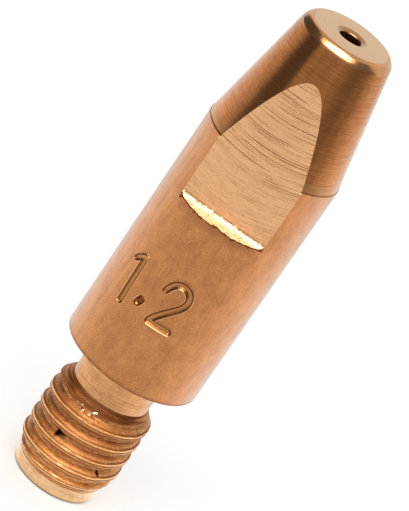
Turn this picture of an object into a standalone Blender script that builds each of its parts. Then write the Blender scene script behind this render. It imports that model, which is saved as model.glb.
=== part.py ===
"""Welding contact tip, turned from one copper rod.

The tip stands on its tail: the tail face lies at z = 0, the axis is +Z and the nose is on top.
The wrench flats face -Y and +Y. Metres throughout.
"""
import math

import bmesh
import bpy

MM = 0.001

# Main lengths along the axis, measured up from the tail face
OVERALL_LENGTH = 30.5 * MM
SEAT_HEIGHT = 8.5 * MM
CONE_HEIGHT = 23.0 * MM

# Body, a plain cylinder between the seat and the cone
BODY_DIAMETER = 8.0 * MM
SEAT_EDGE_RADIUS = 0.08 * MM

# Nose cone, a hair smaller than the body where the two meet
CONE_STEP = 0.03 * MM
NOSE_DIAMETER = 5.25 * MM

# Rim, a chamfer between the nose face and the cone, crisp above and softly rounded below
NOSE_FACE_DIAMETER = 4.8 * MM
RIM_HEIGHT = 0.36 * MM
RIM_EDGE_RADIUS = 0.07 * MM
RIM_FOOT_RADIUS = 0.55 * MM

# Wire bore, with a countersink at each end
BORE_DIAMETER = 1.25 * MM
NOSE_SINK_DIAMETER = 1.8 * MM
NOSE_SINK_DEPTH = 0.12 * MM
BORE_MOUTH_RADIUS = 0.1 * MM
TAIL_SINK_DIAMETER = 2.4 * MM
TAIL_SINK_DEPTH = 0.7 * MM

# Wrench flats, milled down the cone and into the body
ACROSS_FLATS = 6.06 * MM
FLAT_WALL_HEIGHT = 19.1 * MM
FLAT_CORNER_RADIUS = 0.38 * MM

# Neck between the seat and the thread
NECK_DIAMETER = 4.58 * MM
NECK_START_HEIGHT = 6.25 * MM
NECK_CORNER_RADIUS = 0.2 * MM

# Thread, single start and right-handed
THREAD_DIAMETER = 5.87 * MM
THREAD_PITCH = 1.0 * MM
THREAD_DEPTH = 0.44 * MM
THREAD_ROOT_WIDTH = 0.2 * MM
THREAD_FLANK_ANGLE = 30.0
THREAD_CREST_CHAMFER = 0.07 * MM
THREAD_FULL_FROM = 1.8 * MM
THREAD_FULL_TO = 5.45 * MM
THREAD_START_ANGLE = 265.0

# Pilot below the thread
PILOT_DIAMETER = 4.96 * MM
PILOT_LENGTH = 0.8 * MM
PILOT_EDGE_RADIUS = 0.22 * MM

# Faces around one turn and along one rounded corner
SEGMENTS = 60
CORNER_STEPS = 3
SHARP_ANGLE = 25.0

# Copper, as the photograph shows it
COPPER_COLOUR = (0.72, 0.36, 0.2, 1.0)
COPPER_ROUGHNESS = 0.32

# Derived sizes
BODY_RADIUS = BODY_DIAMETER / 2
CONE_BASE_RADIUS = BODY_RADIUS - CONE_STEP
NOSE_RADIUS = NOSE_DIAMETER / 2
CONE_TAPER = (CONE_BASE_RADIUS - NOSE_RADIUS) / (OVERALL_LENGTH - CONE_HEIGHT)
BORE_RADIUS = BORE_DIAMETER / 2
NECK_RADIUS = NECK_DIAMETER / 2
CREST_RADIUS = THREAD_DIAMETER / 2
ROOT_RADIUS = CREST_RADIUS - THREAD_DEPTH
PILOT_RADIUS = PILOT_DIAMETER / 2
FLAT_DISTANCE = ACROSS_FLATS / 2
CUTTER_MARGIN = 1.0 * MM


def rounded_outline(corners):
    """Turn (x, y, radius, steps) corners of a closed outline into points, with each corner rounded."""
    points = []
    for index, (x, y, radius, steps) in enumerate(corners):
        if radius == 0.0:
            points.append((x, y))
            continue
        before = corners[index - 1]
        after = corners[(index + 1) % len(corners)]
        in_angle = math.atan2(before[1] - y, before[0] - x)
        out_angle = math.atan2(after[1] - y, after[0] - x)
        opening = (out_angle - in_angle) % math.tau
        bisector = in_angle + opening / 2
        if opening > math.pi:
            bisector += math.pi
            opening = math.tau - opening
        to_centre = radius / math.sin(opening / 2)
        centre_x = x + to_centre * math.cos(bisector)
        centre_y = y + to_centre * math.sin(bisector)
        sweep = math.pi - opening
        middle = bisector + math.pi
        turn = math.sin(out_angle - in_angle)
        direction = -1.0 if turn > 0.0 else 1.0
        for step in range(steps + 1):
            angle = middle + direction * sweep * (step / steps - 0.5)
            points.append((centre_x + radius * math.cos(angle), centre_y + radius * math.sin(angle)))
    return points


def new_object(name, mesh, collection):
    obj = bpy.data.objects.new(name, mesh)
    collection.objects.link(obj)
    return obj


def mark_as_cutter(obj):
    obj.hide_render = True
    obj.display_type = "WIRE"


def turned_blank(collection):
    """The lathe work: one closed section, from the bore's top end round the outside to its bottom end."""
    corners = [
        (BORE_RADIUS, OVERALL_LENGTH - NOSE_SINK_DEPTH, BORE_MOUTH_RADIUS, CORNER_STEPS),
        (NOSE_SINK_DIAMETER / 2, OVERALL_LENGTH, 0.0, 0),
        (NOSE_FACE_DIAMETER / 2, OVERALL_LENGTH, RIM_EDGE_RADIUS, CORNER_STEPS),
        (NOSE_RADIUS + CONE_TAPER * RIM_HEIGHT, OVERALL_LENGTH - RIM_HEIGHT, RIM_FOOT_RADIUS, CORNER_STEPS),
        (CONE_BASE_RADIUS, CONE_HEIGHT, 0.0, 0),
        (BODY_RADIUS, CONE_HEIGHT, 0.0, 0),
        # A ring just under the flats' end walls keeps the body's long faces clear of their corners
        (BODY_RADIUS, FLAT_WALL_HEIGHT - FLAT_CORNER_RADIUS, 0.0, 0),
        (BODY_RADIUS, SEAT_HEIGHT, SEAT_EDGE_RADIUS, CORNER_STEPS),
        (NECK_RADIUS, SEAT_HEIGHT, NECK_CORNER_RADIUS, CORNER_STEPS),
        (NECK_RADIUS, NECK_START_HEIGHT, NECK_CORNER_RADIUS, CORNER_STEPS),
        (CREST_RADIUS, THREAD_FULL_TO, 0.0, 0),
        (CREST_RADIUS, THREAD_FULL_FROM, 0.0, 0),
        (PILOT_RADIUS, PILOT_LENGTH, 0.0, 0),
        (PILOT_RADIUS, 0.0, PILOT_EDGE_RADIUS, CORNER_STEPS),
        (TAIL_SINK_DIAMETER / 2, 0.0, 0.0, 0),
        (BORE_RADIUS, TAIL_SINK_DEPTH, 0.0, 0),
    ]
    section = [(radius, 0.0, height) for radius, height in rounded_outline(corners)]
    edges = [(index, (index + 1) % len(section)) for index in range(len(section))]
    mesh = bpy.data.meshes.new("contact_tip")
    mesh.from_pydata(section, edges, [])
    tip = new_object("contact_tip", mesh, collection)
    lathe = tip.modifiers.new("Lathe", "SCREW")
    lathe.axis = "Z"
    lathe.steps = SEGMENTS
    lathe.render_steps = SEGMENTS
    lathe.use_merge_vertices = True
    lathe.merge_threshold = 0.000001
    return tip


def thread_cutter(collection):
    """The thread's groove as one solid helix, which runs out over the pilot and over the neck."""
    flank = math.tan(math.radians(THREAD_FLANK_ANGLE))
    chamfer_radius = CREST_RADIUS - THREAD_CREST_CHAMFER
    half_root = THREAD_ROOT_WIDTH / 2
    half_flank = half_root + flank * (chamfer_radius - ROOT_RADIUS)
    half_mouth = half_flank + THREAD_CREST_CHAMFER
    outside = CREST_RADIUS + THREAD_DEPTH
    groove = [
        (ROOT_RADIUS, half_root),
        (ROOT_RADIUS, -half_root),
        (chamfer_radius, -half_flank),
        (CREST_RADIUS, -half_mouth),
        (outside, -half_mouth),
        (outside, half_mouth),
        (CREST_RADIUS, half_mouth),
        (chamfer_radius, half_flank),
    ]
    # The helix starts below the pilot, half a face round from the blank's own edges
    start_angle = math.radians(THREAD_START_ANGLE) + math.pi / SEGMENTS
    start_height = -THREAD_PITCH / 2
    rise = NECK_START_HEIGHT + THREAD_PITCH / 2 - start_height
    steps = math.ceil(rise / THREAD_PITCH * SEGMENTS)
    bm = bmesh.new()
    verts = []
    for radius, height in groove:
        x = radius * math.cos(start_angle)
        y = radius * math.sin(start_angle)
        verts.append(bm.verts.new((x, y, start_height + height)))
    face = bm.faces.new(verts)
    bmesh.ops.spin(
        bm,
        geom=[face],
        cent=(0.0, 0.0, 0.0),
        axis=(0.0, 0.0, 1.0),
        dvec=(0.0, 0.0, THREAD_PITCH / SEGMENTS),
        angle=math.tau * steps / SEGMENTS,
        steps=steps,
        use_merge=False,
        use_duplicate=False,
    )
    bmesh.ops.recalc_face_normals(bm, faces=bm.faces)
    mesh = bpy.data.meshes.new("thread_cutter")
    bm.to_mesh(mesh)
    bm.free()
    cutter = new_object("thread_cutter", mesh, collection)
    mark_as_cutter(cutter)
    return cutter


def flat_cutter(collection):
    """Both wrench flats: the path of the milling cutter from the side, thickened across and mirrored."""
    outer = BODY_RADIUS + CUTTER_MARGIN
    top = OVERALL_LENGTH + CUTTER_MARGIN
    corners = [
        (-FLAT_DISTANCE, top, 0.0, 0),
        (-FLAT_DISTANCE, FLAT_WALL_HEIGHT, FLAT_CORNER_RADIUS, CORNER_STEPS),
        (-outer, FLAT_WALL_HEIGHT, 0.0, 0),
        (-outer, top, 0.0, 0),
    ]
    outline = [(0.0, y, z) for y, z in rounded_outline(corners)]
    mesh = bpy.data.meshes.new("flat_cutter")
    mesh.from_pydata(outline, [], [range(len(outline))])
    cutter = new_object("flat_cutter", mesh, collection)
    across = cutter.modifiers.new("Across", "SOLIDIFY")
    across.thickness = 2 * outer
    across.offset = 0.0
    both_sides = cutter.modifiers.new("Both sides", "MIRROR")
    both_sides.use_axis = (False, True, False)
    both_sides.merge_threshold = 0.000001
    mark_as_cutter(cutter)
    return cutter


def cut(target, cutter, label):
    boolean = target.modifiers.new(label, "BOOLEAN")
    boolean.operation = "DIFFERENCE"
    boolean.solver = "EXACT"
    boolean.object = cutter


def finish(obj):
    """Keep the cut shape as the object's own mesh, smooth round the turned faces and sharp at edges."""
    evaluated = obj.evaluated_get(bpy.context.evaluated_depsgraph_get())
    mesh = bpy.data.meshes.new_from_object(evaluated)
    mesh.name = obj.name
    obj.modifiers.clear()
    obj.data = mesh
    mesh.shade_smooth()
    mesh.set_sharp_from_angle(angle=math.radians(SHARP_ANGLE))


def copper():
    material = bpy.data.materials.new("copper")
    material.use_nodes = True
    shader = material.node_tree.nodes["Principled BSDF"]
    shader.inputs["Base Color"].default_value = COPPER_COLOUR
    shader.inputs["Metallic"].default_value = 1.0
    shader.inputs["Roughness"].default_value = COPPER_ROUGHNESS
    return material


def main():
    for obj in list(bpy.data.objects):
        bpy.data.objects.remove(obj)
    parts = bpy.data.collections.new("Contact tip")
    cutters = bpy.data.collections.new("Cutters")
    bpy.context.scene.collection.children.link(parts)
    bpy.context.scene.collection.children.link(cutters)
    tip = turned_blank(parts)
    cut(tip, thread_cutter(cutters), "Thread")
    cut(tip, flat_cutter(cutters), "Wrench flats")
    tip.data.materials.append(copper())
    finish(tip)


main()
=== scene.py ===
"""Looks of the welding contact tip: a fine copy of the turned solid, copper finishes, studio."""

import math

import bmesh
import bpy
from mathutils import Matrix, Vector, noise


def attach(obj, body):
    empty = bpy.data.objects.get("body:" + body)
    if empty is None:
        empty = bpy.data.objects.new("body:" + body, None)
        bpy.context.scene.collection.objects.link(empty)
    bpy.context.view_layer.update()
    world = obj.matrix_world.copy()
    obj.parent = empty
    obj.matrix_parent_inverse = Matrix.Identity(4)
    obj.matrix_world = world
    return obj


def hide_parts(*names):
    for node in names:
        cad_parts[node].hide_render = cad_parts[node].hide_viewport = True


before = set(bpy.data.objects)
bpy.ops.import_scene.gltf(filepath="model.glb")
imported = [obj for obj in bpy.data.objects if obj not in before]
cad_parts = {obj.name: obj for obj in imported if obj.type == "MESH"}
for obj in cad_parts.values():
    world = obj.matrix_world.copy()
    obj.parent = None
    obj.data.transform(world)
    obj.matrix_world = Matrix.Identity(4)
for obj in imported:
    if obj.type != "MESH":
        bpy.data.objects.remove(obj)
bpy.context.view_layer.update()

MM = 0.001

# The part's own sizes, as its source has them
OVERALL_LENGTH = 30.5 * MM
SEAT_HEIGHT = 8.5 * MM
CONE_HEIGHT = 23.0 * MM
BODY_RADIUS = 4.0 * MM
SEAT_EDGE_RADIUS = 0.08 * MM
CONE_STEP = 0.03 * MM
NOSE_RADIUS = 2.625 * MM
NOSE_FACE_RADIUS = 2.4 * MM
RIM_HEIGHT = 0.36 * MM
RIM_FOOT_RADIUS = 0.55 * MM
CONE_TAPER = (BODY_RADIUS - CONE_STEP - NOSE_RADIUS) / (OVERALL_LENGTH - CONE_HEIGHT)
BORE_RADIUS = 0.625 * MM
BORE_MOUTH_RADIUS = 0.1 * MM
NOSE_SINK_RADIUS = 0.9 * MM
NOSE_SINK_DEPTH = 0.12 * MM
TAIL_SINK_RADIUS = 1.2 * MM
TAIL_SINK_DEPTH = 0.7 * MM
FLAT_DISTANCE = 3.03 * MM
FLAT_WALL_HEIGHT = 19.1 * MM
FLAT_CORNER_RADIUS = 0.38 * MM
NECK_RADIUS = 2.29 * MM
NECK_START_HEIGHT = 6.25 * MM
NECK_CORNER_RADIUS = 0.2 * MM
CREST_RADIUS = 2.935 * MM
THREAD_PITCH = 1.0 * MM
THREAD_DEPTH = 0.44 * MM
THREAD_FULL_FROM = 1.8 * MM
THREAD_FULL_TO = 5.45 * MM
THREAD_START_ANGLE = 265.0
PILOT_RADIUS = 2.48 * MM
PILOT_LENGTH = 0.8 * MM
PILOT_EDGE_RADIUS = 0.22 * MM

# Traces that the plain solid doesn't have, and the reach of a painted shadow below the flats' end walls
RIM_WORN_RADIUS = 0.36 * MM
BURR_SHADOW_REACH = 0.14 * MM
COLLAR_HEIGHT = 0.6 * MM
COLLAR_SLACK = 0.02 * MM
COLLAR_GROOVE = (0.08 * MM, 0.05 * MM)
FLANK = (0.05 * MM, 0.38 * MM)
SEAM_HALF_WIDTH = 0.06 * MM
SEAM_DEPTH = 0.035 * MM
RUN_OUT_SCORE = 0.02 * MM
SCORES_PER_PITCH = 4
BURR_HEIGHT = 0.025 * MM
BURR_WIDTH = 0.06 * MM
BURR_REACH = 0.48 * MM
TORN_EDGE = 0.15 * MM
# Nicks in the thread: azimuth from the front in degrees, height, half width, half height and depth in mm
NICKS = [(-17.5, 3.55, 0.36, 0.2, 0.22), (49.0, 2.45, 0.24, 0.17, 0.16), (-48.0, 4.75, 0.14, 0.12, 0.07)]
# Galled crest, in the same way
GALLED = (-10.0, 5.52, 1.15, 0.22, 0.08)
# From where on a nick or galled metal has its own finish
NICK_SHOWN_FROM = 0.035 * MM
GALLED_SHOWN_FROM = 0.009 * MM
# Milled arcs on the flats
CUTTER_RADIUS = 9.0 * MM
ARC_PITCH = 0.115 * MM

# Fineness of the visual copy
SEGMENTS = 320
THREAD_ROW = 0.045 * MM
BURR_ROW = 0.03 * MM
STAMP_ROW = 0.16 * MM
ARC_STEPS = 8
WALL_STEPS = 10
CUTTER_COLUMNS = 150
STROKE_STEP = 0.07 * MM
SHARP_ANGLE = 38.0

# Stamped wire size: strokes as (distance round the body, height) in millimetres
STROKE_HALF_WIDTH = 0.2 * MM
STAMP_FOOT = 11.8 * MM
STAMP_TOP = 16.0 * MM
STROKES = {
    "one_flag": (0.95, [(-2.9, 14.72), (-2.68, 14.96), (-2.37, 15.12)]),
    "one_stem": (1.0, [(-2.33, 15.12), (-2.32, 14.51), (-2.3, 13.77), (-2.28, 13.03), (-2.24, 12.36)]),
    "point": (1.15, [(-1.2, 13.22), (-1.29, 12.99)]),
    "two_bow": (1.0, [
        (-0.36, 14.58), (-0.26, 14.87), (-0.12, 15.09), (0.05, 15.24), (0.25, 15.33), (0.48, 15.32),
        (0.7, 15.22), (0.87, 15.07), (0.99, 14.87), (1.04, 14.64), (0.99, 14.36), (0.85, 14.12),
        (0.68, 13.9), (0.47, 13.66), (0.26, 13.41), (0.06, 13.15), (-0.11, 12.9), (-0.24, 12.62),
    ]),
    "two_foot": (0.95, [(-0.25, 12.56), (0.33, 12.57), (0.98, 12.58)]),
}
# Sections of a stroke, as (share of its half width, height over the body)
GROOVE = [
    (-1.0, 0.0), (-0.5, -0.115 * MM), (0.0, -0.135 * MM), (0.5, -0.115 * MM), (1.0, 0.0), (1.6, 0.12 * MM),
    (0.0, 0.2 * MM), (-1.6, 0.12 * MM),
]
DEEPER = 1.6
DEEP_GROOVE = [(across, depth * DEEPER if depth < 0.0 else depth) for across, depth in GROOVE]
LIP = [(-1.5, -0.03 * MM), (-1.12, 0.018 * MM), (1.12, 0.018 * MM), (1.5, -0.03 * MM), (0.0, -0.3 * MM)]

COAT_ROUGHNESS = 0.3

# Brightness of the surround, where 1 is white
FRONT_GLOW = 0.47
GAP_GLOW = 0.12
RIGHT_GLOW = 0.3
BACK_GLOW = 0.9
TOP_GLOW = 0.8
LEFT_BAND_GLOW = 0.12
RIGHT_BAND_GLOW = 0.22
SOFT_BOX_GLOW = 8.0
# Brightness of the floor as the metal sees it
FLOOR_GLOW = 1.08
SIDE_FLOOR_GLOW = 1.32
BACK_FLOOR_GLOW = 1.0
FLOOR_NEAR = 75 * MM
FLOOR_FAR = 155 * MM
FLOOR_REACH = 1.0
FLOOR_LIFT = 0.42
PAPER = (0.8, 0.8, 0.8, 1.0)
STUDIO_TONE = (0.985, 1.0, 0.96, 1.0)
WHITE = (1.0, 1.0, 1.0, 1.0)
# Key light: azimuth from the front and elevation in degrees, distance, size and strength
KEY_AZIMUTH = -8.0
KEY_ELEVATION = 55.0
KEY_DISTANCE = 0.6
KEY_SIZE = (0.8, 0.4)
KEY_RADIANCE = 1.5

CAMERA_PLACE = Vector((9.2104, -192.5101, 97.5757)) * MM
CAMERA_AIM = Vector((0.0985, 0.0047, 15.7380)) * MM
CAMERA_ROLL = 34.308
CAMERA_LENS = 278.63


def rounded_section(corners):
    """Points of the closed turned section from (radius, height, corner radius) corners."""
    points = []
    for index, (r, z, corner) in enumerate(corners):
        if corner == 0.0:
            points.append((r, z))
            continue
        here = Vector((r, z))
        before = (Vector(corners[index - 1][:2]) - here).normalized()
        after = (Vector(corners[(index + 1) % len(corners)][:2]) - here).normalized()
        half = before.angle(after) / 2
        centre = here + (before + after).normalized() * corner / math.sin(half)
        first = here + before * corner / math.tan(half) - centre
        last = here + after * corner / math.tan(half) - centre
        sweep = math.pi - 2 * half
        for step in range(ARC_STEPS + 1):
            t = step / ARC_STEPS
            spoke = first * math.sin((1 - t) * sweep) + last * math.sin(t * sweep)
            spoke /= math.sin(sweep)
            points.append(tuple(centre + spoke))
    return points


def smooth_step(low, high, value):
    """0 to 1 between low and high, level at both ends."""
    t = min(max((value - low) / (high - low), 0.0), 1.0)
    return t * t * (3 - 2 * t)


def soft_ramp(low, high, value, corner=0.16):
    """0 to 1 between low and high, straight in the middle with rounded corners."""
    t = min(max((value - low) / (high - low), 0.0), 1.0)
    slope = 1.0 / (1.0 - corner)
    if t < corner:
        return slope * t * t / (2 * corner)
    if t > 1.0 - corner:
        return 1.0 - slope * (1.0 - t) ** 2 / (2 * corner)
    return slope * (t - corner / 2)


def trace_share(trace, angle, height, ragged):
    """1 in the middle of a trace on the thread, 0 outside its ragged outline."""
    azimuth, middle, half_width, half_height = trace[:4]
    turn = (angle - math.radians(azimuth - 90) + math.pi) % math.tau - math.pi
    across = turn * CREST_RADIUS / (half_width * MM)
    up = (height - middle * MM) / (half_height * MM)
    return 1.0 - smooth_step(0.45, 1.0, math.hypot(across, up) * (1.0 + 0.9 * ragged))


def nicked(angle, height):
    """How deep the nicks cut into the thread at a place."""
    ragged = noise.noise(Vector((9.0 * math.cos(angle), 9.0 * math.sin(angle), 4.5 * height / MM)))
    return sum(nick[-1] * MM * trace_share(nick, angle, height, ragged) for nick in NICKS)


def galled(angle, height):
    """How far the galled metal stands out or in at a place."""
    place = Vector((3.0 * math.cos(angle), 3.0 * math.sin(angle), height / MM))
    ragged = noise.noise(place * 2.0)
    return GALLED[-1] * MM * trace_share(GALLED, angle, height, ragged) * noise.noise(place * 4.6) * 2.0


def thread_radius(angle, height):
    """Radius of the rolled thread: rounded grooves, a fine seam along the crest, scored run-outs."""
    turns = (angle - math.radians(THREAD_START_ANGLE)) / math.tau
    phase = (height / THREAD_PITCH + 0.5 - turns) % 1.0
    from_groove = min(phase, 1.0 - phase) * THREAD_PITCH
    rise = soft_ramp(*FLANK, from_groove)
    from_crest = THREAD_PITCH / 2 - from_groove
    place = Vector((math.cos(angle), math.sin(angle), height / MM))
    seam = SEAM_DEPTH * (1.0 - smooth_step(0.0, SEAM_HALF_WIDTH, from_crest))
    seam *= 0.7 + 0.6 * noise.noise(place * 2.5)
    rough = 0.006 * MM * noise.noise(place * 7.0) - nicked(angle, height) + galled(angle, height)
    threaded = CREST_RADIUS - THREAD_DEPTH + THREAD_DEPTH * rise - seam + rough
    if height < PILOT_LENGTH:
        return PILOT_RADIUS
    if height < THREAD_FULL_FROM:
        share = (height - PILOT_LENGTH) / (THREAD_FULL_FROM - PILOT_LENGTH)
        return min(threaded, PILOT_RADIUS + share * (CREST_RADIUS - PILOT_RADIUS))
    if height > THREAD_FULL_TO:
        share = (height - THREAD_FULL_TO) / (NECK_START_HEIGHT - THREAD_FULL_TO)
        fade = max(0.0, min(4 * share, 4 * (0.85 - share), 1.0))
        score = RUN_OUT_SCORE * math.cos(SCORES_PER_PITCH * math.tau * phase) * fade
        return min(threaded, CREST_RADIUS + share * (NECK_RADIUS - CREST_RADIUS) - score)
    return threaded


def torn_lift(x, y, share):
    """How far a flat's torn end wall stands over its plain height; share of the tear is felt there."""
    place = Vector((x / MM, abs(y) / MM, math.copysign(5.0, y)))
    return TORN_EDGE * share * (noise.noise(place * 1.9) + 0.45 * noise.noise(place * 5.0))


def body_radius(angle, height):
    """Radius of the body by the flats' end walls, where the milling left a fine torn burr."""
    wall_half_width = math.sqrt(BODY_RADIUS ** 2 - FLAT_DISTANCE ** 2)
    across = BODY_RADIUS * math.cos(angle)
    side = 1.0 if math.sin(angle) > 0 else 2.0
    along = 1.0 - smooth_step(wall_half_width - 0.25 * MM, wall_half_width + 0.05 * MM, abs(across))
    torn = max(0.0, 0.3 + 2.0 * noise.noise(Vector((across / (0.3 * MM), side * 9.0, 0.0))))
    below = (FLAT_WALL_HEIGHT - 0.05 * MM - height) / BURR_WIDTH
    return BODY_RADIUS + BURR_HEIGHT * along * torn * math.exp(-below * below)


def add_piece(name, mesh):
    """A new object of the scene, from its mesh."""
    obj = bpy.data.objects.new(name, mesh)
    bpy.context.scene.collection.objects.link(obj)
    return obj


def turned_mesh():
    """Rings of points from the bore's top mouth, down the outside and back up the bore."""
    nose = rounded_section([
        (BORE_RADIUS, OVERALL_LENGTH - 2.0 * MM, 0.0),
        (BORE_RADIUS, OVERALL_LENGTH - NOSE_SINK_DEPTH, BORE_MOUTH_RADIUS),
        (NOSE_SINK_RADIUS, OVERALL_LENGTH, 0.02 * MM),
        (NOSE_FACE_RADIUS, OVERALL_LENGTH, RIM_WORN_RADIUS),
        (NOSE_RADIUS + CONE_TAPER * RIM_HEIGHT, OVERALL_LENGTH - RIM_HEIGHT, RIM_FOOT_RADIUS),
        (BODY_RADIUS - CONE_STEP - CONE_TAPER * COLLAR_HEIGHT, CONE_HEIGHT + COLLAR_HEIGHT, 0.0),
        (BODY_RADIUS - CONE_STEP - COLLAR_SLACK, CONE_HEIGHT + COLLAR_GROOVE[0], 0.0),
        (BODY_RADIUS - CONE_STEP - COLLAR_GROOVE[1], CONE_HEIGHT + COLLAR_GROOVE[0] / 2, 0.0),
        (BODY_RADIUS, CONE_HEIGHT, 0.0),
    ])
    waist = rounded_section([
        (BODY_RADIUS, STAMP_FOOT - STAMP_ROW, 0.0),
        (BODY_RADIUS, SEAT_HEIGHT, SEAT_EDGE_RADIUS),
        (NECK_RADIUS, SEAT_HEIGHT, NECK_CORNER_RADIUS),
        (NECK_RADIUS, NECK_START_HEIGHT + THREAD_ROW, 0.0),
        (NECK_RADIUS, NECK_START_HEIGHT, 0.0),
    ])
    lower = rounded_section([
        (PILOT_RADIUS, PILOT_LENGTH, 0.0),
        (PILOT_RADIUS, 0.0, PILOT_EDGE_RADIUS),
        (TAIL_SINK_RADIUS, 0.0, 0.0),
        (BORE_RADIUS, TAIL_SINK_DEPTH, 0.0),
    ])
    bm = bmesh.new()
    rings = []
    angles = [math.tau * step / SEGMENTS for step in range(SEGMENTS)]

    def ring(radius_at, height):
        points = []
        for angle in angles:
            radius = radius_at(angle)
            points.append(bm.verts.new((radius * math.cos(angle), radius * math.sin(angle), height)))
        rings.append(points)

    for radius, height in nose:
        ring(lambda angle: radius, height)
    burr_rows = round(BURR_REACH / BURR_ROW)
    for row in range(burr_rows + 1):
        height = FLAT_WALL_HEIGHT + BURR_REACH / 2 - BURR_REACH * row / burr_rows
        ring(lambda angle: body_radius(angle, height), height)
    stamp_rows = round((STAMP_TOP - STAMP_FOOT) / STAMP_ROW)
    for row in range(stamp_rows + 1):
        ring(lambda angle: BODY_RADIUS, STAMP_TOP - (STAMP_TOP - STAMP_FOOT) * row / stamp_rows)
    for radius, height in waist:
        ring(lambda angle: radius, height)
    rows = round((NECK_START_HEIGHT - PILOT_LENGTH) / THREAD_ROW)
    for row in range(1, rows):
        height = NECK_START_HEIGHT - (NECK_START_HEIGHT - PILOT_LENGTH) * row / rows
        ring(lambda angle: thread_radius(angle, height), height)
    for radius, height in lower:
        ring(lambda angle: radius, height)
    for index, points in enumerate(rings):
        below = rings[(index + 1) % len(rings)]
        for step in range(SEGMENTS):
            after = (step + 1) % SEGMENTS
            bm.faces.new((points[step], below[step], below[after], points[after]))
    mesh = bpy.data.meshes.new("tip")
    bm.to_mesh(mesh)
    bm.free()
    return mesh


def flat_cutter():
    """Both flats' cutter, as in the part's source, with the end wall torn along its outer edge."""
    outer = BODY_RADIUS + 1.0 * MM
    top = OVERALL_LENGTH + 1.0 * MM
    side = [(FLAT_DISTANCE, top, 0.0)]
    for step in range(ARC_STEPS + 1):
        angle = math.pi / 2 * step / ARC_STEPS
        y = FLAT_DISTANCE + FLAT_CORNER_RADIUS * (1 - math.cos(angle))
        z = FLAT_WALL_HEIGHT + FLAT_CORNER_RADIUS * (1 - math.sin(angle))
        side.append((y, z, 0.25 * step / ARC_STEPS))
    wall_start = side[-1][0]
    reach = BODY_RADIUS + 0.2 * MM - wall_start
    for step in range(1, WALL_STEPS + 1):
        y = wall_start + reach * step / WALL_STEPS
        side.append((y, FLAT_WALL_HEIGHT, 0.25 + 0.75 * step / WALL_STEPS))
    side += [(outer, FLAT_WALL_HEIGHT, 1.0), (outer, top, 0.0)]
    half_width = BODY_RADIUS + 0.5 * MM
    bm = bmesh.new()
    for sign in (1, -1):
        rows = []
        for column in range(CUTTER_COLUMNS + 1):
            x = half_width * (2 * column / CUTTER_COLUMNS - 1)
            row = []
            for y, z, torn in side:
                row.append(bm.verts.new((x, sign * y, z + torn_lift(x, sign * y, torn))))
            rows.append(row)
        bm.faces.new(rows[0])
        bm.faces.new(rows[-1])
        for row, after_row in zip(rows, rows[1:]):
            for index in range(len(side)):
                after = (index + 1) % len(side)
                bm.faces.new((row[index], row[after], after_row[after], after_row[index]))
    bmesh.ops.recalc_face_normals(bm, faces=bm.faces)
    mesh = bpy.data.meshes.new("flat_cutter")
    bm.to_mesh(mesh)
    bm.free()
    return add_piece("flat_cutter", mesh)


def on_body(around, height, radius):
    """A point on the body, from its distance round from the front flat's middle and its height."""
    angle = around / BODY_RADIUS - math.pi / 2
    return Vector((radius * math.cos(angle), radius * math.sin(angle), height))


def stroke_solid(name, section):
    """A stroke's section swept along its line on the body, with rounded ends."""
    share, line = STROKES[name]
    half_width = STROKE_HALF_WIDTH * share
    points = [Vector((s * MM, z * MM)) for s, z in line]
    dense = []
    for start, end in zip(points, points[1:]):
        steps = max(2, round((end - start).length / STROKE_STEP))
        dense += [start.lerp(end, step / steps) for step in range(steps)]
    dense.append(points[-1])
    for _ in range(12):
        middles = [(before + after) / 2 for before, after in zip(dense, dense[2:])]
        inner = [point.lerp(middle, 0.5) for point, middle in zip(dense[1:], middles)]
        dense = [dense[0]] + inner + [dense[-1]]
    first = (dense[0] - dense[1]).normalized()
    last = (dense[-1] - dense[-2]).normalized()
    end_turns = [math.radians(turn) for turn in (84, 70, 50, 25)]
    stations = [(dense[0] + first * half_width * math.sin(turn), math.cos(turn)) for turn in end_turns]
    stations += [(point, 1.0) for point in dense]
    for turn in reversed(end_turns):
        stations.append((dense[-1] + last * half_width * math.sin(turn), math.cos(turn)))
    bm = bmesh.new()
    rows = []
    for index, (point, size) in enumerate(stations):
        before = stations[max(index - 1, 0)][0]
        after = stations[min(index + 1, len(stations) - 1)][0]
        along = (after - before).normalized()
        side = Vector((-along.y, along.x))
        row = []
        for across, rise in section:
            place = point + side * half_width * size * across
            height = rise * size if rise < 0.0 else rise
            row.append(bm.verts.new(on_body(place.x, place.y, BODY_RADIUS + height)))
        rows.append(row)
    bm.faces.new(rows[0])
    bm.faces.new(rows[-1])
    for row, after_row in zip(rows, rows[1:]):
        for index in range(len(section)):
            after = (index + 1) % len(section)
            bm.faces.new((row[index], row[after], after_row[after], after_row[index]))
    bmesh.ops.recalc_face_normals(bm, faces=bm.faces)
    mesh = bpy.data.meshes.new(name)
    bm.to_mesh(mesh)
    bm.free()
    return add_piece(name, mesh)


def combine(target, cutters, operation):
    """Joins the cutters to the target or cuts them from it, and removes them."""
    for cutter in cutters:
        boolean = target.modifiers.new(cutter.name, "BOOLEAN")
        boolean.operation = operation
        boolean.solver = "EXACT"
        boolean.object = cutter
    mesh = bpy.data.meshes.new_from_object(target.evaluated_get(bpy.context.evaluated_depsgraph_get()))
    target.modifiers.clear()
    target.data = mesh
    for cutter in cutters:
        bpy.data.objects.remove(cutter)


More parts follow.
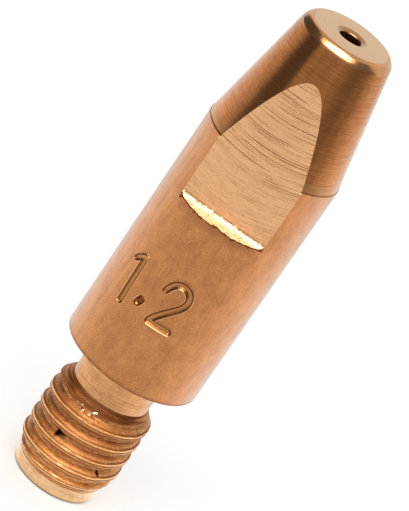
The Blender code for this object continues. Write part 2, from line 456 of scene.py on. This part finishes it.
class Nodes:
    """A node tree with short calls for the nodes the finishes are made of."""

    def __init__(self, tree):
        self.tree = tree
        self.tree.nodes.clear()

    def add(self, kind, **settings):
        node = self.tree.nodes.new(kind)
        for name, value in settings.items():
            setattr(node, name, value)
        return node

    def feed(self, socket, value):
        """Links a socket to the input, or writes a plain value on it."""
        if isinstance(value, bpy.types.NodeSocket):
            self.tree.links.new(value, socket)
        elif value is not None:
            socket.default_value = value

    def math(self, operation, a, b=None):
        node = self.add("ShaderNodeMath", operation=operation)
        for socket, value in zip(node.inputs, (a, b)):
            self.feed(socket, value)
        return node.outputs[0]

    def plus(self, a, b):
        return self.math("ADD", a, b)

    def minus(self, a, b):
        return self.math("SUBTRACT", a, b)

    def times(self, a, b):
        return self.math("MULTIPLY", a, b)

    def over(self, a, b):
        return self.math("DIVIDE", a, b)

    def ease(self, value, low, high, start=0.0, end=1.0):
        """Smooth step of value from start at low to end at high."""
        node = self.add("ShaderNodeMapRange", interpolation_type="SMOOTHSTEP")
        given = {"Value": value, "From Min": low, "From Max": high, "To Min": start, "To Max": end}
        for name, number in given.items():
            self.feed(node.inputs[name], number)
        return node.outputs["Result"]

    def band(self, value, low, high, soft):
        """1 between low and high, fading to 0 over soft outside."""
        rise = self.ease(value, low - soft, low)
        fall = self.ease(value, high, high + soft, 1.0, 0.0)
        return self.times(rise, fall)

    def blend(self, factor, a, b):
        """Number a where factor is 0, b where it is 1."""
        node = self.add("ShaderNodeMix", data_type="FLOAT")
        self.feed(node.inputs[0], factor)
        self.feed(node.inputs[2], a)
        self.feed(node.inputs[3], b)
        return node.outputs[0]

    def tint(self, factor, a, b):
        """Colour a where factor is 0, b where it is 1."""
        node = self.add("ShaderNodeMix", data_type="RGBA")
        self.feed(node.inputs[0], factor)
        self.feed(node.inputs[6], a)
        self.feed(node.inputs[7], b)
        return node.outputs[2]

    def place(self):
        """x, y and z of the point on the piece, in metres."""
        coords = self.add("ShaderNodeTexCoord").outputs["Object"]
        split = self.add("ShaderNodeSeparateXYZ")
        self.feed(split.inputs[0], coords)
        return split.outputs[0], split.outputs[1], split.outputs[2]

    def radius(self):
        """Distance of the point from the tip's axis, in metres."""
        x, y, _ = self.place()
        return self.math("SQRT", self.plus(self.times(x, x), self.times(y, y)))

    def vector(self, x, y, z):
        node = self.add("ShaderNodeCombineXYZ")
        for socket, value in zip(node.inputs, (x, y, z)):
            self.feed(socket, value)
        return node.outputs[0]

    def noise(self, vector, detail=3.0, roughness=0.55):
        node = self.add("ShaderNodeTexNoise")
        self.feed(node.inputs["Vector"], vector)
        self.feed(node.inputs["Scale"], 1.0)
        self.feed(node.inputs["Detail"], detail)
        self.feed(node.inputs["Roughness"], roughness)
        return node.outputs[0]

    def stretched_noise(self, across, along, detail=3.0, roughness=0.55):
        """Noise whose grains are across metres wide in x and y and along metres long in z."""
        x, y, z = self.place()
        vector = self.vector(self.over(x, across), self.over(y, across), self.over(z, along))
        return self.noise(vector, detail, roughness)

    def bump(self, height, distance):
        node = self.add("ShaderNodeBump")
        self.feed(node.inputs["Strength"], 1.0)
        self.feed(node.inputs["Distance"], distance)
        self.feed(node.inputs["Height"], height)
        return node.outputs[0]


def satin_body(nodes):
    """Drawn bar: a mottled satin skin, drawn lines lightened by a painted reflection at the front left,
    darker patches by the seat, painted shade below the end walls.
    """
    mottle = nodes.stretched_noise(0.6 * MM, 0.9 * MM, 4.0, 0.65)
    drawn = nodes.stretched_noise(0.1 * MM, 2.5 * MM, 3.0, 0.6)
    grain = nodes.stretched_noise(0.06 * MM, 0.065 * MM, 2.0, 0.7)
    x, y, z = nodes.place()
    left = nodes.ease(x, -2.75 * MM, -2.6 * MM, 1.0, 0.0)
    front = nodes.ease(y, -0.5 * MM, 0.5 * MM, 1.0, 0.0)
    # Front left: stronger drawn lines, and a little lighter as a painted reflection
    drawn_lines_and_sheen = nodes.times(left, front)
    lines = nodes.times(nodes.minus(drawn, 0.5), nodes.blend(drawn_lines_and_sheen, 0.2, 0.8))
    height = nodes.plus(nodes.times(lines, 0.5), nodes.times(grain, 0.5))
    shade = nodes.plus(nodes.times(mottle, 0.46), nodes.times(grain, 0.75))
    shade = nodes.plus(nodes.minus(shade, 0.105), nodes.plus(lines, nodes.times(drawn_lines_and_sheen, 0.05)))
    broken = nodes.ease(nodes.stretched_noise(0.35 * MM, 0.3 * MM, 3.0, 0.6), 0.38, 0.6, 0.2, 1.0)
    # Darker in broken patches just above the seat
    by_seat = nodes.ease(z, SEAT_HEIGHT + 0.05 * MM, SEAT_HEIGHT + 0.26 * MM, 1.0, 0.0)
    # Painted shade on the body just below the flats' end walls
    shade_below_wall = nodes.ease(z, FLAT_WALL_HEIGHT - 0.8 * MM, FLAT_WALL_HEIGHT - 0.1 * MM)
    between = nodes.ease(nodes.math("ABSOLUTE", x), 2.1 * MM, 2.8 * MM, 1.0, 0.0)
    for dark, weight in ((nodes.times(by_seat, broken), 0.6), (nodes.times(shade_below_wall, between), 0.16)):
        shade = nodes.minus(shade, nodes.times(dark, weight))
    return height, shade


def turned_lines(nodes):
    """Fine lines that a turning tool leaves round the part, over a slight mottle."""
    fine = nodes.stretched_noise(2.2 * MM, 0.055 * MM, 3.0, 0.7)
    mottle = nodes.stretched_noise(0.5 * MM, 0.9 * MM, 3.0, 0.6)
    short = nodes.stretched_noise(0.2 * MM, 0.06 * MM, 2.0, 0.6)
    height = nodes.plus(nodes.times(fine, 0.75), nodes.times(short, 0.25))
    shade = nodes.plus(nodes.times(height, 1.1), nodes.times(mottle, 0.35))
    return height, nodes.minus(shade, 0.225)


def faced_rings(nodes):
    """Rings that a facing cut leaves on a flat end."""
    x, y, _ = nodes.place()
    ring = nodes.over(nodes.radius(), 0.07 * MM)
    rings = nodes.noise(nodes.vector(ring, nodes.over(x, 1.5 * MM), nodes.over(y, 1.5 * MM)), 2.0, 0.6)
    grain = nodes.stretched_noise(0.05 * MM, 0.05 * MM, 2.0, 0.6)
    height = nodes.plus(nodes.times(rings, 0.5), nodes.times(grain, 0.5))
    return height, height


def milled_arcs(nodes):
    """Thin arcs of a round cutter fed along the flat, each of its own strength, deepest high up."""
    x, _, z = nodes.place()
    off = nodes.plus(x, 0.5 * MM)
    sweep = nodes.math("SQRT", nodes.minus(CUTTER_RADIUS ** 2, nodes.times(off, off)))
    feed = nodes.plus(z, sweep)

    def along_feed(length, width, seed, detail=1.0, roughness=0.5):
        place = nodes.vector(nodes.over(feed, length), nodes.over(x, width), seed)
        return nodes.noise(place, detail, roughness)

    drift = along_feed(0.7 * MM, 6.0 * MM, 3.0)
    count = nodes.plus(nodes.over(feed, ARC_PITCH), nodes.times(drift, 2.5))
    mark = nodes.math("FLOOR", count)
    across = nodes.minus(count, mark)
    strength = nodes.add("ShaderNodeTexWhiteNoise", noise_dimensions="1D")
    nodes.feed(strength.inputs["W"], mark)
    reach = nodes.noise(nodes.vector(nodes.times(mark, 5.37), nodes.over(x, 2.3 * MM), 9.0), 1.0, 0.5)
    group = along_feed(0.75 * MM, 5.0 * MM, 14.0)
    depth = nodes.times(nodes.ease(strength.outputs["Value"], 0.05, 1.0), nodes.ease(reach, 0.32, 0.5))
    depth = nodes.times(depth, nodes.ease(group, 0.4, 0.55, 0.3, 1.0))
    depth = nodes.times(depth, nodes.ease(z, 21.8 * MM, 23.3 * MM, 0.3, 1.0))
    lined = nodes.times(nodes.band(across, 0.36, 0.58, 0.24), depth)
    raised = nodes.times(nodes.band(across, 0.84, 0.9, 0.12), depth)
    fine = along_feed(0.035 * MM, 1.6 * MM, 7.0, 2.0, 0.6)
    grain = nodes.stretched_noise(0.07 * MM, 0.07 * MM, 2.0, 0.6)
    height = nodes.minus(nodes.times(fine, 0.2), lined)
    skin = nodes.plus(nodes.times(fine, 0.75), nodes.times(grain, 0.4))
    skin = nodes.plus(skin, nodes.times(raised, 0.14))
    return height, nodes.minus(nodes.plus(skin, 0.08), nodes.times(lined, 0.4))


def torn_wall(nodes):
    """Metal torn and pitted where the cutter stopped."""
    coarse = nodes.stretched_noise(0.2 * MM, 0.16 * MM, 4.0, 0.7)
    fine = nodes.stretched_noise(0.07 * MM, 0.05 * MM, 3.0, 0.6)
    pits = nodes.ease(nodes.plus(nodes.times(coarse, 0.6), nodes.times(fine, 0.4)), 0.38, 0.46)
    height = nodes.plus(nodes.times(coarse, 0.8), nodes.times(fine, 0.4))
    return height, pits


def rolled_thread(nodes):
    """Rolled flanks with faint lines, lighter on the lower turns as painted light; along each crest a broken
    painted highlight between dark folds, painted shade under the crest, dark roots.
    """
    x, y, z = nodes.place()
    angle = nodes.minus(nodes.math("ARCTAN2", y, x), math.radians(THREAD_START_ANGLE))
    rows = nodes.minus(nodes.over(z, THREAD_PITCH), nodes.over(angle, math.tau))
    wander = nodes.minus(nodes.stretched_noise(0.9 * MM, 0.5 * MM, 2.0, 0.5), 0.5)
    phase = nodes.math("FRACT", nodes.plus(nodes.plus(rows, 0.5), nodes.times(wander, 0.07)))
    above = nodes.minus(phase, 0.5)
    lines = nodes.stretched_noise(1.6 * MM, 0.045 * MM, 3.0, 0.6)
    mottle = nodes.stretched_noise(0.35 * MM, 0.2 * MM, 3.0, 0.65)
    grain = nodes.stretched_noise(0.09 * MM, 0.06 * MM, 3.0, 0.7)
    broken = nodes.ease(nodes.stretched_noise(0.4 * MM, 0.6 * MM, 2.0, 0.5), 0.3, 0.5, 0.25, 1.0)
    glint = nodes.ease(nodes.stretched_noise(0.16 * MM, 0.5 * MM, 3.0, 0.7), 0.42, 0.56, 0.35, 1.0)
    # Painted highlight along the upper edge of each crest, broken up
    crest_highlight = nodes.times(nodes.band(above, 0.08, 0.11, 0.03), glint)
    over = nodes.times(nodes.band(above, 0.17, 0.2, 0.03), broken)
    seam = nodes.times(nodes.band(above, -0.02, 0.02, 0.03), broken)
    # Painted shade on the flank under each crest
    shade_under_crest = nodes.band(above, -0.16, -0.13, 0.04)
    root = nodes.ease(nodes.math("ABSOLUTE", above), 0.44, 0.49)
    runout = nodes.ease(z, THREAD_FULL_TO + 0.1 * MM, THREAD_FULL_TO + 0.5 * MM)
    shade = nodes.plus(nodes.times(nodes.plus(lines, mottle), 0.34), nodes.times(grain, 0.55))
    # The lower turns are lighter, as painted light
    shade = nodes.plus(nodes.minus(shade, 0.19), nodes.ease(z, 1.2 * MM, 4.4 * MM, 0.11, 0.02))
    ripple = nodes.math("COSINE", nodes.times(phase, SCORES_PER_PITCH * math.tau))
    shade = nodes.plus(shade, nodes.times(ripple, nodes.blend(runout, 0.035, 0.13)))
    shade = nodes.plus(shade, nodes.times(crest_highlight, nodes.blend(runout, 0.6, 0.0)))
    for dark, weight in ((seam, 0.34), (shade_under_crest, 0.24), (over, 0.34), (root, 0.08)):
        shade = nodes.minus(shade, nodes.times(dark, weight))
    return nodes.plus(nodes.times(lines, 0.6), nodes.times(grain, 0.6)), shade


def scored_run_out(nodes):
    """Dark score lines round the upper run-out over painted shade, paler towards both sides as painted
    light.
    """
    x, _, _ = nodes.place()
    lines = nodes.stretched_noise(1.6 * MM, 0.05 * MM, 3.0, 0.65)
    broad = nodes.stretched_noise(3.0 * MM, 0.16 * MM, 2.0, 0.5)
    grain = nodes.stretched_noise(0.09 * MM, 0.06 * MM, 3.0, 0.7)
    # Painted light: paler towards both sides
    pale = nodes.ease(nodes.math("ABSOLUTE", x), 1.7 * MM, 2.5 * MM, 0.0, 0.3)
    height = nodes.plus(nodes.times(lines, 0.7), nodes.times(grain, 0.3))
    shade = nodes.plus(nodes.times(nodes.plus(lines, broad), 0.9), nodes.times(grain, 0.4))
    return height, nodes.plus(nodes.minus(shade, 0.8), pale)


def fine_grain(nodes):
    """An even fine grain."""
    grain = nodes.stretched_noise(0.06 * MM, 0.06 * MM, 3.0, 0.6)
    return grain, grain


def stamped_floor(nodes):
    """Stamped strokes, painted shade dark down their walls with a lighter floor."""
    grain = nodes.stretched_noise(0.06 * MM, 0.06 * MM, 3.0, 0.6)
    floor = nodes.band(nodes.radius(), BODY_RADIUS - 0.16 * MM, BODY_RADIUS - 0.115 * MM, 0.04 * MM)
    return grain, nodes.plus(nodes.times(floor, 0.55), nodes.times(grain, 0.4))


class Finish:
    """One finish of the same copper: dark and light colour, roughness, marks and their depth, coat."""

    def __init__(self, dark, light, roughness, marks, depth, spread=0.05, coat=0.8):
        self.dark = dark
        self.light = light
        self.roughness = roughness
        self.marks = marks
        self.depth = depth
        self.spread = spread
        self.coat = coat

    def material(self, name):
        material = bpy.data.materials.new("copper " + name)
        material.use_nodes = True
        nodes = Nodes(material.node_tree)
        shader = nodes.add("ShaderNodeBsdfPrincipled")
        output = nodes.add("ShaderNodeOutputMaterial")
        nodes.feed(output.inputs["Surface"], shader.outputs[0])
        height, shade = self.marks(nodes)
        shade = nodes.ease(shade, 0.25, 0.75)
        rough = nodes.blend(shade, self.roughness + self.spread, self.roughness - self.spread)
        nodes.feed(shader.inputs["Base Color"], nodes.tint(shade, (*self.dark, 1.0), (*self.light, 1.0)))
        nodes.feed(shader.inputs["Roughness"], rough)
        nodes.feed(shader.inputs["Metallic"], 1.0)
        nodes.feed(shader.inputs["Coat Weight"], self.coat)
        nodes.feed(shader.inputs["Coat Roughness"], COAT_ROUGHNESS)
        nodes.feed(shader.inputs["Normal"], nodes.bump(height, self.depth))
        return material


FINISHES = {
    "body": Finish((0.37, 0.119, 0.0235), (0.605, 0.242, 0.068), 0.35, satin_body, 0.005 * MM, coat=0.85),
    "collar": Finish((0.42, 0.156, 0.043), (0.61, 0.272, 0.088), 0.25, turned_lines, 0.004 * MM, coat=0.5),
    "cone": Finish((0.42, 0.12, 0.026), (0.67, 0.258, 0.072), 0.17, turned_lines, 0.006 * MM, coat=0.4),
    "rim": Finish((0.56, 0.22, 0.07), (0.72, 0.34, 0.14), 0.18, turned_lines, 0.001 * MM, coat=0.5),
    "face": Finish((0.68, 0.37, 0.15), (0.78, 0.44, 0.19), 0.34, faced_rings, 0.002 * MM),
    # Countersunk mouth: darker, painted shade
    "mouth": Finish((0.36, 0.15, 0.05), (0.55, 0.26, 0.1), 0.24, fine_grain, 0.001 * MM),
    "flat": Finish((0.36, 0.12, 0.033), (0.9, 0.49, 0.245), 0.38, milled_arcs, 0.007 * MM, coat=0.35),
    "wall": Finish((0.3, 0.11, 0.035), (0.95, 0.66, 0.43), 0.7, torn_wall, 0.04 * MM, coat=0.7),
    # Painted shadow under the torn burr along the flats' end walls
    "burr_shadow": Finish((0.1, 0.03, 0.008), (0.32, 0.11, 0.03), 0.5, fine_grain, 0.01 * MM, coat=0.0),
    # Stamped strokes: darker than the body, painted shade in the grooves
    "stamp": Finish((0.21, 0.065, 0.016), (0.46, 0.18, 0.052), 0.38, stamped_floor, 0.006 * MM, coat=0.35),
    # Seat's rounded edge: very dark, painted shade as it faces down
    "edge": Finish((0.08, 0.028, 0.008), (0.22, 0.08, 0.024), 0.5, fine_grain, 0.004 * MM, coat=0.0),
    # Raised lips round the strokes: lighter, a painted highlight along them
    "lip": Finish((0.56, 0.25, 0.08), (0.72, 0.36, 0.14), 0.3, fine_grain, 0.002 * MM),
    "seat": Finish((0.40, 0.14, 0.036), (0.52, 0.2, 0.06), 0.33, faced_rings, 0.003 * MM),
    "neck": Finish((0.42, 0.175, 0.055), (0.76, 0.375, 0.165), 0.36, turned_lines, 0.012 * MM, coat=0.5),
    "thread": Finish(
        (0.35, 0.115, 0.024), (1.0, 0.52, 0.2), 0.52, rolled_thread, 0.012 * MM, spread=0.16, coat=0.35),
    # Upper run-out: dark colours as painted shade
    "runout": Finish(
        (0.22, 0.068, 0.015), (0.7, 0.3, 0.1), 0.62, scored_run_out, 0.012 * MM, spread=0.1, coat=0.08),
    "galled": Finish((0.66, 0.36, 0.14), (1.0, 0.74, 0.48), 0.3, fine_grain, 0.01 * MM),
    # Nicks: near black, painted shade in the dents
    "nick": Finish((0.03, 0.01, 0.004), (0.16, 0.055, 0.016), 0.6, fine_grain, 0.03 * MM, coat=0.0),
    # Pilot: paler than the body, as painted light
    "pilot": Finish((0.58, 0.29, 0.12), (1.0, 0.64, 0.36), 0.3, turned_lines, 0.008 * MM, coat=0.5),
    # Bottom edge of the pilot: dark, painted shade by the floor contact
    "heel_shade": Finish((0.24, 0.09, 0.025), (0.42, 0.18, 0.06), 0.4, fine_grain, 0.004 * MM, coat=0.2),
    "bore": Finish((0.2, 0.06, 0.015), (0.4, 0.14, 0.04), 0.3, fine_grain, 0.004 * MM),
}


def zone_of(centre, normal, least, most):
    """Which finish a face has, from where it is, which way it looks and its least and most radius."""
    radius = math.hypot(centre.x, centre.y)
    height = centre.z
    if radius < BORE_RADIUS + 0.02 * MM:
        return "bore"
    if radius < NOSE_SINK_RADIUS and height > OVERALL_LENGTH - 2 * NOSE_SINK_DEPTH:
        return "mouth"
    if height > OVERALL_LENGTH - RIM_HEIGHT - 0.1 * MM:
        return "face" if normal.z > 0.999 else "rim"
    on_flat = abs(centre.y) < FLAT_DISTANCE + 0.01 * MM and abs(normal.y) > 0.99
    if height > FLAT_WALL_HEIGHT and on_flat:
        return "flat"
    if height > CONE_HEIGHT:
        return "cone" if height > CONE_HEIGHT + COLLAR_HEIGHT else "collar"
    upward = 0.75 if least > BODY_RADIUS - 0.01 * MM else 0.12
    if height > FLAT_WALL_HEIGHT - 0.2 * MM and normal.z > upward:
        uneven = 0.42 + 0.6 * noise.noise(Vector((centre.x / (0.3 * MM), 5.0, 0.0)))
        return "flat" if normal.z < uneven and abs(normal.y) > 0.4 else "wall"
    edge = FLAT_WALL_HEIGHT + torn_lift(centre.x, centre.y, 0.8)
    uneven = 0.7 + 0.9 * noise.noise(Vector((centre.x / (0.22 * MM), 8.0, 0.0)))
    # Body just under each end wall: painted shadow of the burr
    if abs(centre.x) < 2.62 * MM and edge - BURR_SHADOW_REACH * uneven < height < FLAT_WALL_HEIGHT + TORN_EDGE:
        return "burr_shadow"
    if height > SEAT_HEIGHT + SEAT_EDGE_RADIUS:
        if least < BODY_RADIUS - 0.008 * MM:
            return "stamp"
        stamped = height < STAMP_TOP and most > BODY_RADIUS + 0.006 * MM
        return "lip" if stamped else "body"
    if height > SEAT_HEIGHT - 0.01 * MM:
        if normal.z > -0.15:
            return "body"
        # The down-facing seat rounding gets the dark painted-shade finish
        return "edge" if normal.z > -0.9 else "seat"
    if height > NECK_START_HEIGHT:
        return "neck"
    if height > PILOT_LENGTH:
        angle = math.atan2(centre.y, centre.x)
        # Deep enough nicks get the near-black painted-shade finish
        if nicked(angle, height) > NICK_SHOWN_FROM:
            return "nick"
        if galled(angle, height) > GALLED_SHOWN_FROM:
            return "galled"
        share = (height - THREAD_FULL_TO) / (NECK_START_HEIGHT - THREAD_FULL_TO)
        slope = CREST_RADIUS + share * (NECK_RADIUS - CREST_RADIUS)
        return "runout" if share > 0.12 and radius > slope - 0.035 * MM else "thread"
    if radius < TAIL_SINK_RADIUS:
        return "bore"
    # The pilot's lowest band gets painted shade
    return "pilot" if height > 0.07 * MM else "heel_shade"


def dress(obj):
    """Gives each face of the tip the finish of its zone, and returns the finishes' order."""
    order = {name: index for index, name in enumerate(FINISHES)}
    obj.data.materials.clear()
    for name, look in FINISHES.items():
        obj.data.materials.append(look.material(name))
    reach = [math.hypot(vertex.co.x, vertex.co.y) for vertex in obj.data.vertices]
    for polygon in obj.data.polygons:
        reaches = [reach[index] for index in polygon.vertices]
        polygon.material_index = order[zone_of(polygon.center, polygon.normal, min(reaches), max(reaches))]
    return order


def smooth(obj, flat):
    """Smooth shading with sharp edges where the shape has them, and all round the flats."""
    obj.data.shade_smooth()
    obj.data.set_sharp_from_angle(angle=math.radians(SHARP_ANGLE))
    bm = bmesh.new()
    bm.from_mesh(obj.data)
    for edge in bm.edges:
        if len({face.material_index == flat for face in edge.link_faces}) == 2:
            edge.smooth = False
    bm.to_mesh(obj.data)
    bm.free()


def studio_glow(nodes, direction):
    """Brightness of the studio by direction, its azimuth and rise: pale behind, dimmer in front.

    A dark gap stands at the front left and a dim one at the front right.
    """
    split = nodes.add("ShaderNodeSeparateXYZ")
    nodes.feed(split.inputs[0], direction)
    x, y, z = split.outputs
    azimuth = nodes.math("ARCTAN2", x, nodes.times(y, -1.0))
    round_back = nodes.ease(nodes.math("ABSOLUTE", azimuth), math.radians(74), math.radians(118))
    gap_start = nodes.ease(azimuth, math.radians(-88), math.radians(-72))
    gap_end = nodes.ease(azimuth, math.radians(-46), math.radians(-42), 1.0, 0.0)
    right_start = nodes.ease(azimuth, math.radians(30), math.radians(46))
    right_end = nodes.ease(azimuth, math.radians(60), math.radians(80), 1.0, 0.0)
    uneven = nodes.noise(nodes.vector(nodes.times(azimuth, 4.5), 0.0, 0.0), 1.0, 0.6)
    front = nodes.times(nodes.ease(uneven, 0.3, 0.7, 0.8, 1.2), FRONT_GLOW)
    front = nodes.blend(nodes.times(gap_start, gap_end), front, GAP_GLOW)
    front = nodes.blend(nodes.times(right_start, right_end), front, RIGHT_GLOW)
    return nodes.blend(round_back, front, BACK_GLOW), azimuth, z


def studio():
    """A pale floor, a white surround with a soft box that metal mirrors, and a broad key light."""
    world = bpy.data.worlds.new("studio")
    world.use_nodes = True
    nodes = Nodes(world.node_tree)
    direction = nodes.add("ShaderNodeTexCoord").outputs["Generated"]
    glow, azimuth, z = studio_glow(nodes, direction)
    glow = nodes.blend(nodes.ease(z, 0.6, 0.85), glow, TOP_GLOW)
    left = nodes.band(azimuth, math.radians(-135), math.radians(-64), math.radians(14))
    right = nodes.band(azimuth, math.radians(60), math.radians(92), math.radians(18))
    low = nodes.ease(z, 0.74, 0.9, 1.0, 0.0)
    glow = nodes.blend(nodes.times(left, low), glow, LEFT_BAND_GLOW)
    glow = nodes.blend(nodes.times(right, low), glow, RIGHT_BAND_GLOW)
    path = nodes.add("ShaderNodeLightPath")
    across = nodes.band(azimuth, math.radians(-44), math.radians(30), math.radians(9))
    upright = nodes.band(z, math.sin(math.radians(45)), math.sin(math.radians(76)), 0.05)
    box = nodes.times(nodes.times(across, upright), path.outputs["Is Glossy Ray"])
    glow = nodes.blend(box, glow, SOFT_BOX_GLOW)
    glow = nodes.blend(path.outputs["Is Camera Ray"], glow, 1.0)
    background = nodes.add("ShaderNodeBackground")
    nodes.feed(background.inputs["Color"], nodes.tint(path.outputs["Is Camera Ray"], STUDIO_TONE, WHITE))
    nodes.feed(background.inputs["Strength"], glow)
    output = nodes.add("ShaderNodeOutputWorld")
    nodes.feed(output.inputs["Surface"], background.outputs[0])
    bpy.context.scene.world = world

    floor_mesh = bpy.data.meshes.new("floor")
    corners = [(x * FLOOR_REACH, y * FLOOR_REACH, 0) for x, y in ((-1, -1), (1, -1), (1, 1), (-1, 1))]
    floor_mesh.from_pydata(corners, [], [(0, 1, 2, 3)])
    floor = add_piece("floor", floor_mesh)
    floor_mesh.materials.append(floor_material())
    area_light("key", KEY_AZIMUTH, KEY_ELEVATION, KEY_DISTANCE, KEY_SIZE, KEY_RADIANCE)


def area_light(name, azimuth, elevation, distance, size, radiance):
    """A soft box seen from the part at that azimuth from the front and that elevation, in degrees."""
    data = bpy.data.lights.new(name, "AREA")
    data.shape = "RECTANGLE"
    data.size, data.size_y = size
    data.energy = radiance * math.pi * size[0] * size[1]
    obj = bpy.data.objects.new(name, data)
    obj.visible_camera = False
    bpy.context.scene.collection.objects.link(obj)
    turn = math.radians(azimuth)
    rise = math.radians(elevation)
    away = Vector((math.sin(turn) * math.cos(rise), -math.cos(turn) * math.cos(rise), math.sin(rise)))
    obj.location = away * distance + Vector((0, 0, OVERALL_LENGTH / 2))
    obj.rotation_euler = away.to_track_quat("Z", "Y").to_euler()


def floor_material():
    """White paper to the camera, with the part's soft shadow; metal sees it lit, dimmer far off in front,
    with a painted contact shadow round the foot.
    """
    material = bpy.data.materials.new("white floor")
    material.use_nodes = True
    nodes = Nodes(material.node_tree)
    x, y, _ = nodes.place()
    distance = nodes.radius()
    far, azimuth, _ = studio_glow(nodes, nodes.vector(x, y, 0.0))
    turned = nodes.math("ABSOLUTE", azimuth)
    sides = nodes.ease(turned, math.radians(42), math.radians(82))
    behind = nodes.ease(turned, math.radians(120), math.radians(160))
    near = nodes.blend(behind, nodes.blend(sides, FLOOR_GLOW, SIDE_FLOOR_GLOW), BACK_FLOOR_GLOW)
    near = nodes.times(near, nodes.ease(azimuth, math.radians(62), math.radians(95), 1.0, 1.12))
    glow = nodes.blend(nodes.ease(distance, FLOOR_NEAR, FLOOR_FAR), near, far)
    # Painted contact shadow round the foot, in the floor as the metal sees it
    foot_shadow = nodes.ease(distance, PILOT_RADIUS - 0.2 * MM, PILOT_RADIUS + 0.3 * MM, 0.1, 1.0)
    lit = nodes.add("ShaderNodeEmission")
    nodes.feed(lit.inputs["Color"], STUDIO_TONE)
    nodes.feed(lit.inputs["Strength"], nodes.times(glow, foot_shadow))
    paper = nodes.add("ShaderNodeBsdfDiffuse")
    nodes.feed(paper.inputs["Color"], PAPER)
    lift = nodes.add("ShaderNodeEmission")
    nodes.feed(lift.inputs["Strength"], FLOOR_LIFT)
    seen = nodes.add("ShaderNodeAddShader")
    nodes.feed(seen.inputs[0], paper.outputs[0])
    nodes.feed(seen.inputs[1], lift.outputs[0])
    mix = nodes.add("ShaderNodeMixShader")
    nodes.feed(mix.inputs[0], nodes.add("ShaderNodeLightPath").outputs["Is Glossy Ray"])
    nodes.feed(mix.inputs[1], seen.outputs[0])
    nodes.feed(mix.inputs[2], lit.outputs[0])
    output = nodes.add("ShaderNodeOutputMaterial")
    nodes.feed(output.inputs["Surface"], mix.outputs[0])
    return material


def camera():
    """The photograph's view: a long lens from the front and above, rolled so that the tip leans."""
    data = bpy.data.cameras.new("camera")
    data.lens = CAMERA_LENS
    data.clip_start = 0.01
    obj = bpy.data.objects.new("camera", data)
    bpy.context.scene.collection.objects.link(obj)
    forward = (CAMERA_AIM - CAMERA_PLACE).normalized()
    right = forward.cross(Vector((0, 0, 1))).normalized()
    up = right.cross(forward)
    roll = math.radians(CAMERA_ROLL)
    x_axis = math.cos(roll) * right + math.sin(roll) * up
    y_axis = -math.sin(roll) * right + math.cos(roll) * up
    turn = Matrix((x_axis, y_axis, -forward)).transposed()
    obj.matrix_world = Matrix.Translation(CAMERA_PLACE) @ turn.to_4x4()
    bpy.context.scene.camera = obj


tip = add_piece("tip", turned_mesh())
combine(tip, [stroke_solid(name, LIP) for name in STROKES], "UNION")
grooves = [stroke_solid(name, DEEP_GROOVE if name == "point" else GROOVE) for name in STROKES]
combine(tip, [flat_cutter()] + grooves, "DIFFERENCE")
smooth(tip, dress(tip)["flat"])
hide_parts("contact_tip")
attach(tip, "root")
studio()
camera()
bpy.context.scene.view_settings.view_transform = "Standard"
